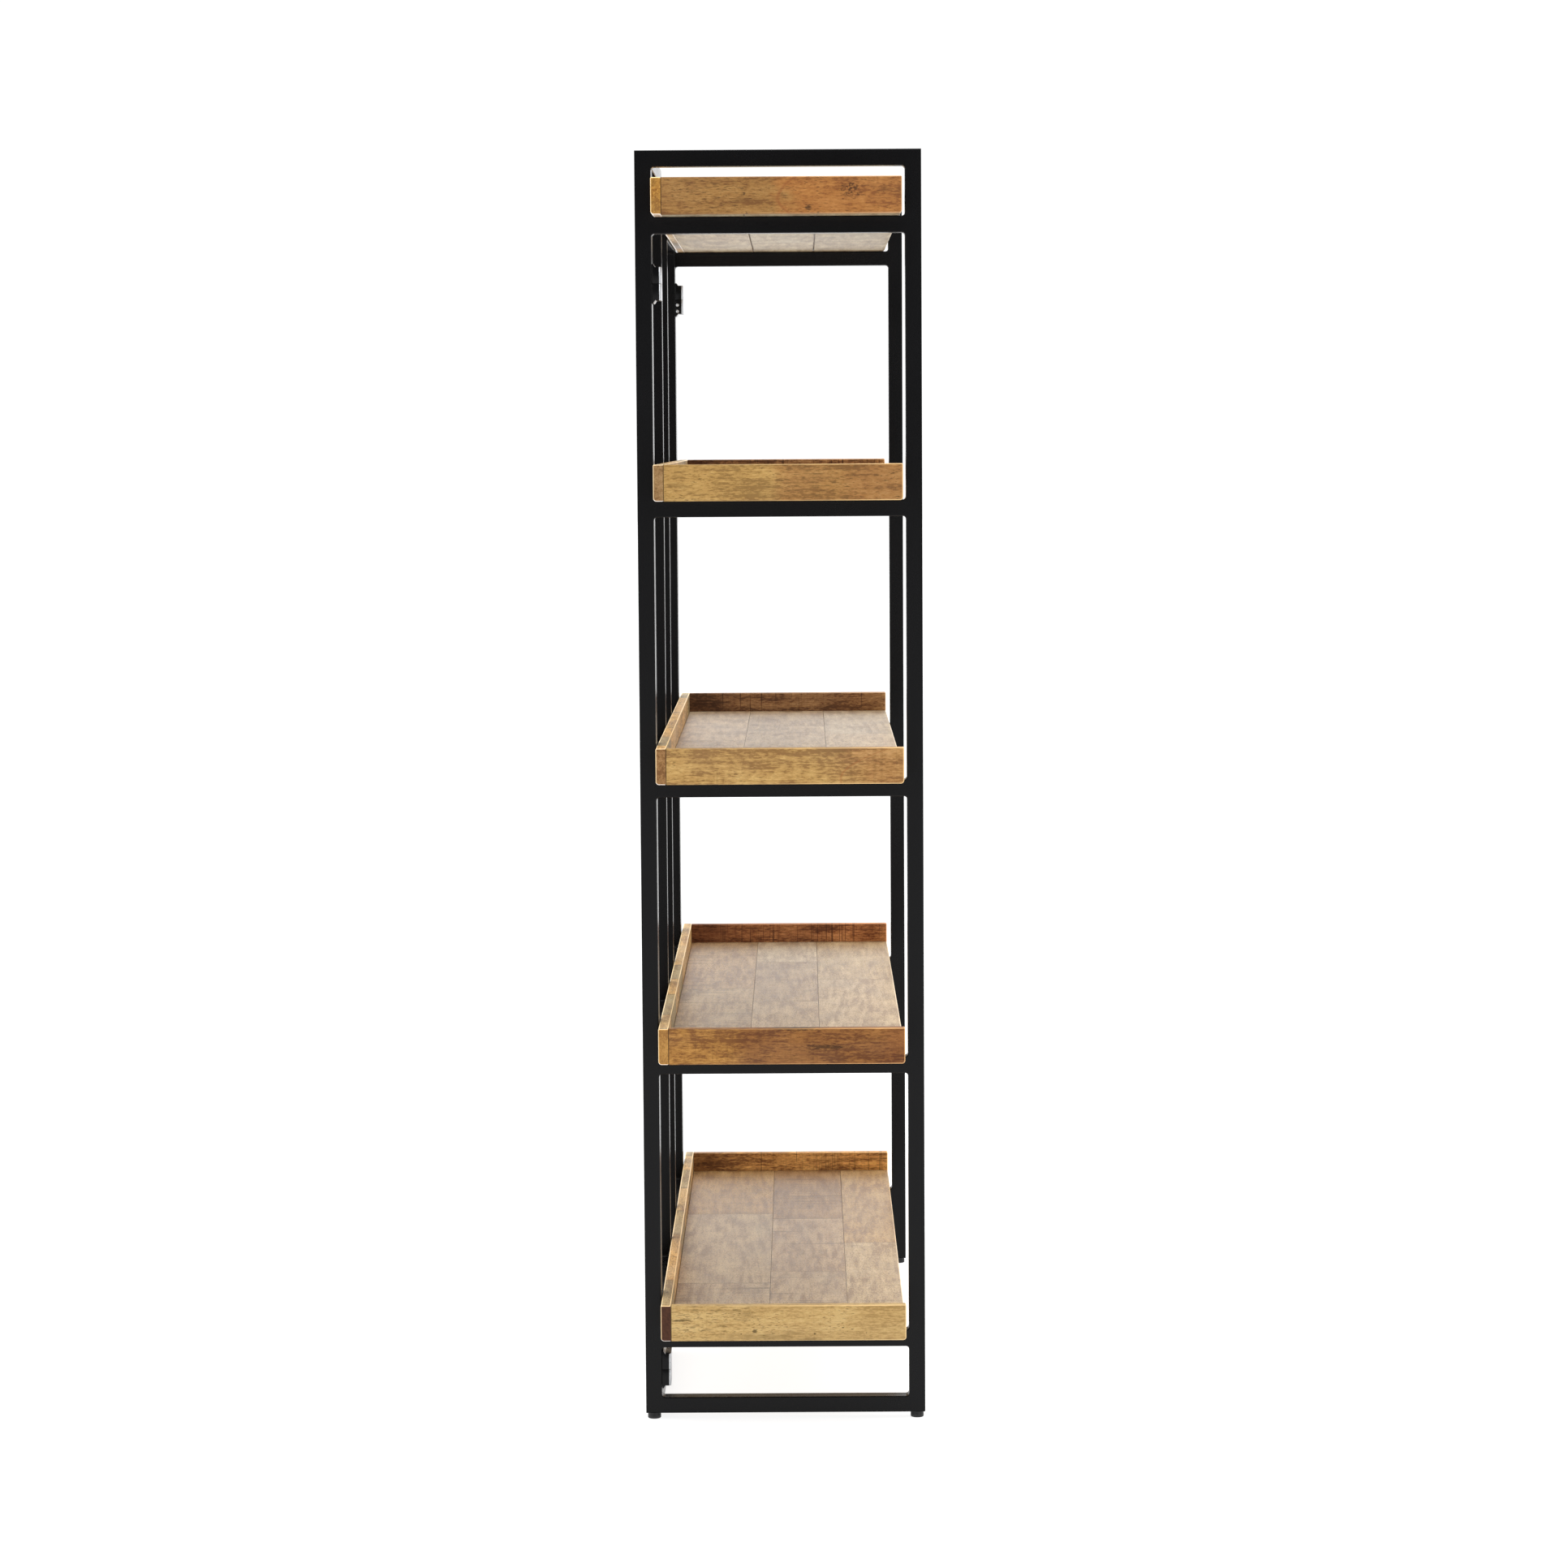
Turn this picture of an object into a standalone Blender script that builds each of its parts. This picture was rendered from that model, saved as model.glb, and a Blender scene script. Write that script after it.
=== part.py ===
"""Open bookcase: two welded ladder ends, two folding back wings, five wooden trays on rungs.

Metres, +Z up. X runs along the bookcase, the open front faces -Y, and the origin is on the
floor under the middle. "left" is the -X end.
"""
import math

import bmesh
import bpy

# Overall size
HEIGHT = 1.800
DEPTH = 0.400
FRAME_LENGTH = 1.076
GAP = 0.0003

# Steel tube
TUBE = 0.023
TUBE_CORNER = 0.0015

# Levelling feet
FOOT_HEIGHT = 0.009
FOOT_RADIUS = 0.0095
STEM_RADIUS = 0.004
STEM_LENGTH = 0.022
STEM_CLEARANCE = 0.0004
BORE_DEPTH = 0.030

# Ladder rungs, counted from the floor up
LEVELS = 5
LOWEST_RUNG_BOTTOM = 0.1045
RUNG_PITCH = 0.395

# Back wings, measured from the outer face of the ladder end
WING_REACH = 0.426

# Wooden trays
TRAY_LENGTH = 1.200
TRAY_BACK = 0.1755
TRAY_WIDTH = 0.347
TRAY_HEIGHT = 0.051
BOARD = 0.014
FLOOR = 0.020
BOARD_CORNER = 0.0012

# Lift-off hinges between each ladder end and its wing; the right upper one is welded on a little higher
HINGE_LEVELS = {
    "left": {"lower": 0.072, "upper": 1.6155},
    "right": {"lower": 0.072, "upper": 1.6290},
}
KNUCKLE_HEIGHT = 0.0240
KNUCKLE_REACH = 0.0130
KNUCKLE_FLARE = 0.0040
KNUCKLE_LENGTH = 0.044
KNUCKLE_CORNER = 0.0010
PIN_RADIUS = 0.0030
PIN_CLEARANCE = 0.0002
PIN_LENGTH = 0.040

ROUND_SIDES = 24
SIDES = {"left": -1, "right": 1}
POST_BOTTOM = FOOT_HEIGHT
POST_Y = (DEPTH - TUBE) / 2
INNER_FACE_Y = DEPTH / 2 - TUBE

# Colour, metallic, roughness
FINISHES = {
    "frame_black": ((0.012, 0.012, 0.013, 1.0), 0.0, 0.42),
    "foot_black": ((0.010, 0.010, 0.010, 1.0), 0.0, 0.60),
    "pin_zinc": ((0.560, 0.570, 0.580, 1.0), 1.0, 0.35),
    "wood_floor": ((0.420, 0.290, 0.180, 1.0), 0.0, 0.62),
    "wood_rim": ((0.500, 0.310, 0.140, 1.0), 0.0, 0.55),
}


def clear_scene():
    for obj in list(bpy.data.objects):
        bpy.data.objects.remove(obj, do_unlink=True)


def new_collection(name):
    collection = bpy.data.collections.new(name)
    bpy.context.scene.collection.children.link(collection)
    return collection


def finish_material(node, finish):
    colour, metallic, roughness = FINISHES[finish]
    material = bpy.data.materials.new(node)
    material.use_nodes = True
    shader = material.node_tree.nodes["Principled BSDF"]
    shader.inputs["Base Color"].default_value = colour
    shader.inputs["Metallic"].default_value = metallic
    shader.inputs["Roughness"].default_value = roughness
    material.diffuse_color = colour
    return material


def add_object(node, mesh, collection, finish=None, location=(0.0, 0.0, 0.0)):
    obj = bpy.data.objects.new(node, mesh)
    obj.location = location
    collection.objects.link(obj)
    if finish:
        mesh.materials.append(finish_material(node, finish))
    return obj


def add_bevel(obj, width, segments=2):
    bevel = obj.modifiers.new("rounded_edges", "BEVEL")
    bevel.width = width
    bevel.segments = segments
    bevel.limit_method = "ANGLE"
    bevel.angle_limit = math.radians(40)


def box_mesh(name, size):
    mesh = bpy.data.meshes.new(name)
    shape = bmesh.new()
    bmesh.ops.create_cube(shape, size=1.0)
    bmesh.ops.scale(shape, vec=size, verts=shape.verts)
    shape.to_mesh(mesh)
    shape.free()
    return mesh


def add_box(node, low, high, collection, finish, corner):
    """A box between two opposite corners, with rounded edges."""
    size = [b - a for a, b in zip(low, high)]
    centre = [(a + b) / 2 for a, b in zip(low, high)]
    obj = add_object(node, box_mesh(node, size), collection, finish, centre)
    add_bevel(obj, corner)
    return obj


def add_round_cutter(name, x, y, bottom, top, radius, collection):
    mesh = bpy.data.meshes.new(name)
    shape = bmesh.new()
    bmesh.ops.create_cone(
        shape, cap_ends=True, segments=ROUND_SIDES, radius1=radius, radius2=radius, depth=top - bottom
    )
    shape.to_mesh(mesh)
    shape.free()
    cutter = add_object(name, mesh, collection, location=(x, y, (bottom + top) / 2))
    cutter.hide_render = True
    cutter.display_type = "WIRE"
    return cutter


def cut(obj, cutter):
    boolean = obj.modifiers.new("cut_" + cutter.name, "BOOLEAN")
    boolean.operation = "DIFFERENCE"
    boolean.solver = "EXACT"
    boolean.object = cutter


def rung_bottom(level):
    return LOWEST_RUNG_BOTTOM + (level - 1) * RUNG_PITCH


def rung_top(level):
    return rung_bottom(level) + TUBE


def end_span(side, start, stop):
    """X range between two distances measured inwards from a ladder end's outer face."""
    edges = [SIDES[side] * (FRAME_LENGTH / 2 - distance) for distance in (start, stop)]
    return min(edges), max(edges)


def add_ladder_end(side, parts, cutters):
    """Two posts with a top rail, a bottom rail and a rung under each tray."""
    x_low, x_high = end_span(side, 0.0, TUBE)
    x_mid = (x_low + x_high) / 2
    for name, sign in (("front", -1), ("back", 1)):
        y_mid = sign * POST_Y
        post = add_box(
            f"{side}_{name}_post",
            (x_low, y_mid - TUBE / 2, POST_BOTTOM),
            (x_high, y_mid + TUBE / 2, HEIGHT),
            parts, "frame_black", TUBE_CORNER,
        )
        bore = add_round_cutter(
            f"bore_{side}_{name}", x_mid, y_mid, POST_BOTTOM - BORE_DEPTH, POST_BOTTOM + BORE_DEPTH,
            STEM_RADIUS + STEM_CLEARANCE, cutters,
        )
        cut(post, bore)
    reach = INNER_FACE_Y - GAP
    bars = {"top_rail": HEIGHT - TUBE, "bottom_rail": POST_BOTTOM}
    bars.update({f"rung_{level}": rung_bottom(level) for level in range(1, LEVELS + 1)})
    for name, bottom in bars.items():
        add_box(
            f"{side}_{name}", (x_low, -reach, bottom), (x_high, reach, bottom + TUBE),
            parts, "frame_black", TUBE_CORNER,
        )


def window_spline(curve, x_low, x_high, z_low, z_high):
    """One closed rectangle of a flat outline, drawn in the curve's own XY plane."""
    spline = curve.splines.new("POLY")
    spline.points.add(3)
    corners = ((x_low, z_low), (x_high, z_low), (x_high, z_high), (x_low, z_high))
    for point, (x, z) in zip(spline.points, corners):
        point.co = (x, z, 0.0, 1.0)
    spline.use_cyclic_u = True


def ladder_mesh(name, width, rail_bottoms):
    """A flat welded ladder: an outline with a window between each two rails."""
    curve = bpy.data.curves.new(name, "CURVE")
    curve.dimensions = "2D"
    curve.fill_mode = "BOTH"
    curve.extrude = TUBE / 2
    window_spline(curve, 0.0, width, POST_BOTTOM, HEIGHT)
    for lower, upper in zip(rail_bottoms, rail_bottoms[1:]):
        window_spline(curve, TUBE, width - TUBE, lower + TUBE, upper)
    flat = bpy.data.objects.new(name, curve)
    bpy.context.scene.collection.objects.link(flat)
    graph = bpy.context.evaluated_depsgraph_get()
    mesh = bpy.data.meshes.new_from_object(flat.evaluated_get(graph))
    bpy.data.objects.remove(flat, do_unlink=True)
    bpy.data.curves.remove(curve)
    shape = bmesh.new()
    shape.from_mesh(mesh)
    bmesh.ops.remove_doubles(shape, verts=shape.verts, dist=0.00001)
    bmesh.ops.dissolve_limit(shape, angle_limit=math.radians(1), verts=shape.verts, edges=shape.edges)
    shape.to_mesh(mesh)
    shape.free()
    return mesh


def add_wing(side, parts, cutters):
    """The welded back panel that folds on a ladder end: two uprights and a rail behind each tray."""
    x_low, x_high = end_span(side, TUBE + GAP, WING_REACH)
    rails = [POST_BOTTOM] + [rung_top(level) + GAP for level in range(1, LEVELS + 1)] + [HEIGHT - TUBE]
    mesh = ladder_mesh(f"{side}_wing_frame", x_high - x_low, rails)
    wing = add_object(f"{side}_wing_frame", mesh, parts, "frame_black", (x_low, POST_Y, 0.0))
    wing.rotation_euler = (math.pi / 2, 0.0, 0.0)
    foot_x = SIDES[side] * (FRAME_LENGTH / 2 - WING_REACH + TUBE / 2)
    bore = add_round_cutter(
        f"bore_{side}_wing", foot_x, POST_Y, POST_BOTTOM - BORE_DEPTH, POST_BOTTOM + BORE_DEPTH,
        STEM_RADIUS + STEM_CLEARANCE, cutters,
    )
    add_bevel(wing, TUBE_CORNER)
    cut(wing, bore)
    return foot_x


def foot_mesh():
    """A round pad on a threaded stem, turned about its own axis, standing on z = 0."""
    pad_top = FOOT_HEIGHT - GAP
    edge = 0.0012
    profile = (
        (0.0, pad_top + STEM_LENGTH),
        (STEM_RADIUS - 0.0008, pad_top + STEM_LENGTH),
        (STEM_RADIUS, pad_top + STEM_LENGTH - 0.0008),
        (STEM_RADIUS, pad_top),
        (FOOT_RADIUS, pad_top),
        (FOOT_RADIUS, edge),
        (FOOT_RADIUS - edge, 0.0),
        (0.0, 0.0),
    )
    mesh = bpy.data.meshes.new("levelling_foot")
    shape = bmesh.new()
    points = [shape.verts.new((x, 0.0, z)) for x, z in profile]
    for first, second in zip(points, points[1:]):
        shape.edges.new((first, second))
    shape.to_mesh(mesh)
    shape.free()
    return mesh


def add_foot(node, x, y, parts):
    foot = add_object(node, foot_mesh(), parts, "foot_black", (x, y, 0.0))
    turn = foot.modifiers.new("turned", "SCREW")
    turn.steps = ROUND_SIDES
    turn.render_steps = ROUND_SIDES
    turn.use_merge_vertices = True
    turn.merge_threshold = 0.00001
    turn.use_smooth_shade = True


def knuckle_mesh(name, upper):
    """Half of a lift-off hinge: a block on the inner face of a post, flared where it meets it."""
    direction = 1 if upper else -1
    base = INNER_FACE_Y - GAP
    outline = (
        (base, GAP / 2),
        (base - KNUCKLE_REACH, GAP / 2),
        (base - KNUCKLE_REACH, KNUCKLE_HEIGHT),
        (base - KNUCKLE_FLARE, KNUCKLE_HEIGHT),
        (base, KNUCKLE_HEIGHT + KNUCKLE_FLARE),
    )
    mesh = bpy.data.meshes.new(name)
    shape = bmesh.new()
    ring = [shape.verts.new((-KNUCKLE_LENGTH / 2, y, direction * z)) for y, z in outline]
    face = shape.faces.new(ring)
    side = bmesh.ops.extrude_face_region(shape, geom=[face])
    moved = [item for item in side["geom"] if isinstance(item, bmesh.types.BMVert)]
    bmesh.ops.translate(shape, vec=(KNUCKLE_LENGTH, 0.0, 0.0), verts=moved)
    bmesh.ops.recalc_face_normals(shape, faces=shape.faces)
    shape.to_mesh(mesh)
    shape.free()
    return mesh


def add_hinge(side, place, parts, cutters):
    """Upper knuckle on the ladder end, lower knuckle on the wing, and the pin that joins them."""
    z = HINGE_LEVELS[side][place]
    x = SIDES[side] * (FRAME_LENGTH / 2 - TUBE - GAP / 2)
    pin_y = INNER_FACE_Y - GAP - KNUCKLE_REACH / 2
    bore = add_round_cutter(
        f"bore_{side}_{place}_hinge", x, pin_y, z - PIN_LENGTH, z + PIN_LENGTH,
        PIN_RADIUS + PIN_CLEARANCE, cutters,
    )
    for half in ("top", "bottom"):
        node = f"{side}_{place}_hinge_{half}"
        block = add_object(
            node, knuckle_mesh(node, half == "top"), parts, "frame_black", (x, 0.0, z)
        )
        add_bevel(block, KNUCKLE_CORNER, segments=1)
        cut(block, bore)
    node = f"{side}_{place}_hinge_pin"
    mesh = bpy.data.meshes.new(node)
    shape = bmesh.new()
    bmesh.ops.create_cone(
        shape, cap_ends=True, segments=ROUND_SIDES, radius1=PIN_RADIUS, radius2=PIN_RADIUS,
        depth=PIN_LENGTH,
    )
    shape.to_mesh(mesh)
    shape.free()
    mesh.shade_smooth()
    mesh.set_sharp_from_angle(angle=math.radians(40))
    add_object(node, mesh, parts, "pin_zinc", (x, pin_y, z))


def add_tray(level, parts):
    """A floor panel with a board along the back and one across each end; the front is open.

    The boards hang on one empty, which rises to lift the whole tray off its rungs.
    """
    lift = bpy.data.objects.new(f"shelf_{level}_lift", None)
    lift.location = (0.0, 0.0, rung_top(level) + GAP)
    parts.objects.link(lift)
    half = TRAY_LENGTH / 2
    front = TRAY_BACK - TRAY_WIDTH
    inner_back = TRAY_BACK - BOARD - GAP
    inner_end = half - BOARD - GAP
    boards = {
        "back_board": ((-half, TRAY_BACK - BOARD, 0.0), (half, TRAY_BACK, TRAY_HEIGHT)),
        "left_end": ((-half, front, 0.0), (BOARD - half, inner_back, TRAY_HEIGHT)),
        "right_end": ((half - BOARD, front, 0.0), (half, inner_back, TRAY_HEIGHT)),
        "floor": ((-inner_end, front, 0.0), (inner_end, inner_back, FLOOR)),
    }
    for name, (low, high) in boards.items():
        finish = "wood_floor" if name == "floor" else "wood_rim"
        board = add_box(f"shelf_{level}_{name}", low, high, parts, finish, BOARD_CORNER)
        board.parent = lift


def main():
    clear_scene()
    parts = new_collection("bookcase")
    cutters = new_collection("cutters")
    for side, sign in SIDES.items():
        add_ladder_end(side, parts, cutters)
        wing_foot_x = add_wing(side, parts, cutters)
        post_x = sign * (FRAME_LENGTH - TUBE) / 2
        add_foot(f"{side}_front_foot", post_x, -POST_Y, parts)
        add_foot(f"{side}_back_foot", post_x, POST_Y, parts)
        add_foot(f"{side}_wing_foot", wing_foot_x, POST_Y, parts)
        for place in HINGE_LEVELS[side]:
            add_hinge(side, place, parts, cutters)
    for level in range(1, LEVELS + 1):
        add_tray(level, parts)


main()
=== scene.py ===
"""Looks of a tall bookcase: black welded tube frames and mango-wood trays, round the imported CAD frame."""

import math
import random

import bmesh
import bpy
import numpy as np
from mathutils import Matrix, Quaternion, Vector


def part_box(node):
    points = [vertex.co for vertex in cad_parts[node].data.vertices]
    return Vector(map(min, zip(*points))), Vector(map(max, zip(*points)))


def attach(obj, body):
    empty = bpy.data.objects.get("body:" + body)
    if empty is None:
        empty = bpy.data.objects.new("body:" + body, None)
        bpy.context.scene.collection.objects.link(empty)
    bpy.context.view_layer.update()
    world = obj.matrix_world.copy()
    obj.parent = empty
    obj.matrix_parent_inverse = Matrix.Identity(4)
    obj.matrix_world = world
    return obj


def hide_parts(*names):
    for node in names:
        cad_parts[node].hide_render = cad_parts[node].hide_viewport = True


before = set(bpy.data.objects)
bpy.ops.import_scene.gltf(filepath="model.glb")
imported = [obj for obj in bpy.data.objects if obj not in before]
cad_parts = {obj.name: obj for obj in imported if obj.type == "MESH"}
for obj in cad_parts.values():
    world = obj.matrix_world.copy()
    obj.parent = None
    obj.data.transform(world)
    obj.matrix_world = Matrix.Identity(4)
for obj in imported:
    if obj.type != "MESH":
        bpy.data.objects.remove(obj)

MM = 0.001
WHITE = (1.0, 1.0, 1.0)
SIDES = {"left": -1, "right": 1}
LEVELS = range(1, 6)
SAME_POINT = 0.02 * MM  # more than rounding errors, less than any detail
TOUCHING = 0.05 * MM  # points closer than this are taken to be in the same plane

# Steel frames
TUBE = 23 * MM
TUBE_CORNER = 1.3 * MM
WELD_FILLET = 4.5 * MM
OUTER_CORNER = 0.8 * MM  # a frame's outside corners, seen from the side
RAIL_LIFT = 0.3 * MM  # a wing rail starts this far above the rung beside it

# Levelling feet
PAD_HEIGHT = 8.7 * MM
PAD_ROUND = 1.4 * MM
# The pad's side from its widest part up: (outwards, upwards) from the top's edge, in millimetres
PAD_WAIST = ((0.0, -3.0), (-0.5, -2.4), (-0.6, -1.6), (-0.2, -1.3), (-0.2, -0.3), (-0.5, 0.0))
THREAD_ROOT = 3.5 * MM
THREAD_CREST = 3.95 * MM
THREAD_PITCH = 1.25 * MM
STEM_TIP = 0.5 * MM

# Hinges: a knuckle on a foot that flares along the post
HINGE_FLARE = 4.0 * MM
HINGE_FOOT = 2.2 * MM
FLARE_DEPTH = 5.0 * MM
KNUCKLE_ROUND = 4.0 * MM
KNUCKLE_EDGE = 0.5 * MM
ZINC_HIGHLIGHT_FRONT = -0.15  # faces whose normal's Y is below this get zinc, as painted highlight for the black front catching light at a grazing angle
SCREW_SHARES = (0.3, 0.68)  # up the lower half
SCREW_INSET = 3.4 * MM
SCREW_HEAD = 2.7 * MM
SCREW_DOME = 1.1 * MM
SCREW_FLATNESS = 0.88  # below 1, the dome keeps a flat top
SCREW_RECESS = 0.6 * MM

# Boards
EDGE_RADIUS = 1.6 * MM
LOW_CORNER = 4.5 * MM  # a tray's lower outside corners, seen from its end
HIGH_CORNER = 2.0 * MM
PLANK_TOP_ROUND = 0.8 * MM
SEAM_REACH = 3.0 * MM  # how far the dirt of a butt joint spreads along a stave
GROOVE_HALF = 1.2 * MM  # the slot between two planks on the underside
GROOVE_DEPTH = 4.0 * MM
BUTT_GAP = 0.12 * MM
HEART_STEP = 0.1  # the back boards' logs differ: each tray's heart lies this much further along
# Each tray's planks from the back: share of the floor's width, and where its staves are butted, along X.
PLANKS = {
    1: ((0.416, (-0.31, 0.21)), (0.339, (-0.23, 0.17)), (0.245, (-0.02,))),
    2: ((0.34, (-0.36, 0.02)), (0.30, (-0.12, 0.33)), (0.36, (0.12,))),
    3: ((0.31, (-0.05,)), (0.37, (-0.33, 0.24)), (0.32, (0.07,))),
    4: ((0.36, (0.16,)), (0.33, (-0.21,)), (0.31, (-0.05, 0.37))),
    5: ((0.345, (-0.14,)), (0.298, (0.22,)), (0.357, (-0.29, 0.19))),
}

# Staves that stand out, by level, plank and piece: a tint, and how far saw marks and dirt show on them. The
# tints of tray 1's far staves, (1, 1, 3), (1, 2, 3) and (1, 3, 2), hold painted shade: browner and darker
# by the far end board, over their own tone.
STAVES = {
    (1, 1, 1): ((0.95, 0.89, 0.82), 1.0),
    (1, 1, 2): ((0.99, 0.94, 0.85), 0.5),
    # painted shade at the far end, over the stave's own tone
    (1, 1, 3): ((0.92, 0.74, 0.48), 0.7),
    (1, 2, 1): ((0.98, 0.92, 0.86), 0.9),
    (1, 2, 2): ((0.93, 0.84, 0.76), 1.0),
    # painted shade at the far end, over the stave's own tone
    (1, 2, 3): ((0.73, 0.57, 0.41), 1.7),
    (1, 3, 1): ((1.03, 0.98, 0.87), 0.4),
    # painted shade at the far end, over the stave's own tone
    (1, 3, 2): ((0.93, 0.78, 0.55), 0.6),
    (2, 1, 1): ((0.86, 0.80, 0.74), 2.0),
    (2, 1, 2): ((0.96, 0.90, 0.80), 1.8),
    (2, 1, 3): ((0.97, 0.85, 0.70), 1.0),
    (2, 2, 1): ((1.02, 0.97, 0.90), 0.5),
    (2, 2, 2): ((0.91, 0.84, 0.77), 0.5),
    (2, 3, 1): ((1.05, 1.01, 0.93), 0.3),
    (2, 3, 2): ((0.98, 0.93, 0.82), 0.3),
}
PALE_UNDERSIDE = {5: (1.00, 1.10, 1.18)}  # the top tray's floor is less brown than the others

# Tints of the back boards, long sides and left end grain, and of the right-hand end boards
BACK_TINTS = {
    1: ((1.24, 1.19, 1.12), (0.17, 0.084, 0.07)),
    2: ((1.17, 1.18, 1.15), (1.24, 0.83, 0.36)),
    3: ((1.22, 1.22, 1.18), (0.54, 0.46, 0.43)),
    4: ((1.12, 1.14, 1.18), (0.54, 0.49, 0.47)),
    5: ((1.20, 1.12, 0.98), (0.72, 0.57, 0.27)),
}
BARE_TINT = (1.20, 1.45, 2.30)  # the back boards' undersides are left pale and unoiled
SAWN_TINTS = {1: (1.80, 1.88, 1.55), 2: (1.22, 1.04, 1.05), 3: (0.98, 1.05, 1.18), 4: WHITE, 5: WHITE}

# Marks in the wood: reach along and across the grain, strength, and how dark next to the wood's dark tone
MARKS = {
    "knot": (1.0, 1.0, 0.8, 0.22),
    "hatch": (1.0, 1.15, 0.8, 0.22),
    "streak": (0.14, 1.0, 0.8, 0.22),
    "dashes": (1.0, 1.8, 0.6, 0.45),
    "seam": (1.0, 0.0, 0.8, 0.22),
}
ARCH_CURVE = 32.0  # how fast an arch falls back from its apex, per metre

# Relief of the surfaces
GRAIN_RELIEF = 0.4 * MM
PEEL_RELIEF = 0.08 * MM
MOULDED_RELIEF = 0.1 * MM
DRAWN_RELIEF = 0.05 * MM

# Studio. Softboxes: place, target, size, watts
SOFTBOXES = {
    "overhead": ((-0.4, -0.3, 4.6), (0.0, 0.0, 0.8), (4.0, 4.0), 190.0),
    "key": ((-4.5, -3.4, 3.0), (0.0, 0.0, 0.9), (2.2, 2.2), 70.0),
    "fill": ((-4.8, 3.6, 2.4), (0.0, 0.0, 0.9), (2.4, 2.4), 50.0),
}
FLOOR_REACH = 60.0
FLOOR_GLOW = 0.85
BACKDROP = 1.05  # how bright the camera sees the surroundings
# Light from the surroundings, by direction along X: dim up to the first value, full from the second
SKY_TURN = (-0.75, 0.35)
SKY_LIGHT = (0.10, 1.6)

# Camera
CAMERA_PLACE = (-6.043, -0.030, 1.400)
CAMERA_YAW = 0.278
CAMERA_PITCH = -5.057
CAMERA_ROLL = -0.375
CAMERA_LENS = 89.85
CAMERA_SENSOR = 36.0

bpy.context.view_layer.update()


# ---------------------------------------------------------------- meshes


def new_piece(name, mesh, body, material, nodes=()):
    """A finished mesh becomes a piece that rides on a body and stands for the given CAD nodes."""
    piece = bpy.data.objects.new(name, mesh)
    bpy.context.scene.collection.objects.link(piece)
    mesh.materials.clear()
    mesh.materials.append(material)
    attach(piece, body)
    if nodes:
        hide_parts(*nodes)
    return piece


def shade(mesh):
    """Flat shading on faces that lie square to an axis, smooth shading on the roundings between them."""
    for face in mesh.polygons:
        face.use_smooth = max(abs(c) for c in face.normal) < 0.9999


def arc(centre, radius, start, count=6):
    """Points on a quarter circle, from the start angle in degrees, counter-clockwise."""
    turns = [math.radians(start + 90 * i / count) for i in range(count + 1)]
    return [(centre[0] + radius * math.cos(t), centre[1] + radius * math.sin(t)) for t in turns]


def rounded_rectangle(low, high, radii, count=6):
    """Outline from the low-left corner, counter-clockwise; one radius per corner."""
    corners = (
        (low[0] + radii[0], low[1] + radii[0], 180),
        (high[0] - radii[1], low[1] + radii[1], 270),
        (high[0] - radii[2], high[1] - radii[2], 0),
        (low[0] + radii[3], high[1] - radii[3], 90),
    )
    return [p for (u, v, start), r in zip(corners, radii) for p in arc((u, v), r, start, count)]


def skin(work, rings):
    """Faces between rings of the same number of points, and one over each end."""
    count = len(rings[0])
    for low, high in zip(rings, rings[1:]):
        for i in range(count):
            j = (i + 1) % count
            work.faces.new((low[i], low[j], high[j], high[i]))
    work.faces.new(rings[0][::-1])
    work.faces.new(rings[-1])


def finished_mesh(work, name):
    """The mesh that was worked on, which is then closed."""
    mesh = bpy.data.meshes.new(name)
    work.to_mesh(mesh)
    work.free()
    return mesh


def plate_mesh(name, outline, windows, thickness, rounding):
    """A plate in the XY plane with windows, its thickness along Z, and every edge rounded."""
    curve = bpy.data.curves.new(name, "CURVE")
    curve.dimensions = "2D"
    curve.fill_mode = "BOTH"
    curve.extrude = thickness / 2 - rounding
    curve.bevel_depth = rounding
    curve.bevel_resolution = 3
    curve.offset = -rounding
    for points in (outline, *windows):
        spline = curve.splines.new("POLY")
        spline.points.add(len(points) - 1)
        for point, (u, v) in zip(spline.points, points):
            point.co = (u, v, 0, 1)
        spline.use_cyclic_u = True
    holder = bpy.data.objects.new(name, curve)
    bpy.context.scene.collection.objects.link(holder)
    bpy.context.view_layer.update()
    evaluated = holder.evaluated_get(bpy.context.evaluated_depsgraph_get())
    mesh = bpy.data.meshes.new_from_object(evaluated)
    bpy.data.objects.remove(holder)
    bpy.data.curves.remove(curve)
    work = bmesh.new()
    work.from_mesh(mesh)
    bmesh.ops.remove_doubles(work, verts=work.verts, dist=SAME_POINT)
    bmesh.ops.recalc_face_normals(work, faces=work.faces)
    work.to_mesh(mesh)
    work.free()
    return mesh


def lathe_mesh(name, profile, centre, segments=48):
    """A turned body about a vertical axis; the profile is (radius, height) from its foot to its top."""
    work = bmesh.new()
    turns = [2 * math.pi * i / segments for i in range(segments)]
    rings = [
        [work.verts.new((centre[0] + r * math.cos(t), centre[1] + r * math.sin(t), height)) for t in turns]
        for r, height in profile
    ]
    skin(work, rings)
    mesh = finished_mesh(work, name)
    for face in mesh.polygons:
        face.use_smooth = abs(face.normal.z) < 0.999
    mesh.set_sharp_from_angle(angle=math.radians(40))
    return mesh


def set_grain(mesh, axis, origin, offset, heart):
    """Stores each point's place along and across the grain: in the whole log, and from its heart."""
    points = np.array([v.co for v in mesh.vertices]) - np.array(origin)
    order = {"X": (0, 1, 2), "Y": (1, 2, 0)}[axis]
    place = points[:, order]
    for name, values in (("grain", place + np.array(offset)), ("log", place - np.array(heart))):
        layer = mesh.attributes.new(name, "FLOAT_VECTOR", "POINT")
        layer.data.foreach_set("vector", values.astype(np.float32).ravel())


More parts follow.
